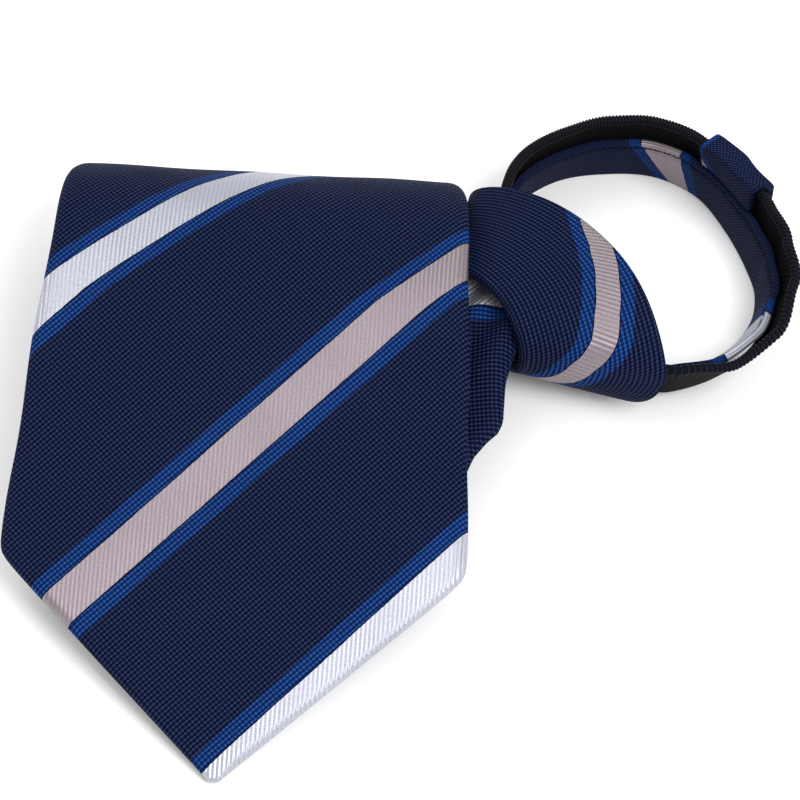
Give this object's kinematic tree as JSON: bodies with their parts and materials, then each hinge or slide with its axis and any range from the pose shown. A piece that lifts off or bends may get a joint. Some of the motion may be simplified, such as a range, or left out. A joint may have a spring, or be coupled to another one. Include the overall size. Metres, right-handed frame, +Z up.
{
  "type": "zipper tie",
  "caption": "Striped necktie folded over on itself, with a padded pointed blade, a hollow pre-tied knot and a small closed neck loop of cloth strap, zip tape and toothed coil.",
  "frame": {"origin": "middle of the whole tie's outline, on the surface that it lies on", "axes": "+Z up from the surface; +Y away from the blade's tip; +X towards the neck loop's side"},
  "size_m": [0.1378, 0.1334, 0.0278],
  "materials": {
    "blade_cloth": "satin",
    "knot_cloth": "satin",
    "strap_cloth": "satin",
    "zip_tape": "matt",
    "zip_coil": "satin",
    "slider_metal": "satin"
  },
  "bodies": {
    "root": {"blade": "blade_cloth", "knot": "knot_cloth", "neck_strap": "strap_cloth", "zip_tape_right": "zip_tape", "zip_tape_left": "zip_tape", "zip_coil_right": "zip_coil", "zip_coil_left": "zip_coil", "tape_sleeve": "strap_cloth", "zip_slider": "slider_metal"}
  },
  "joints": []
}
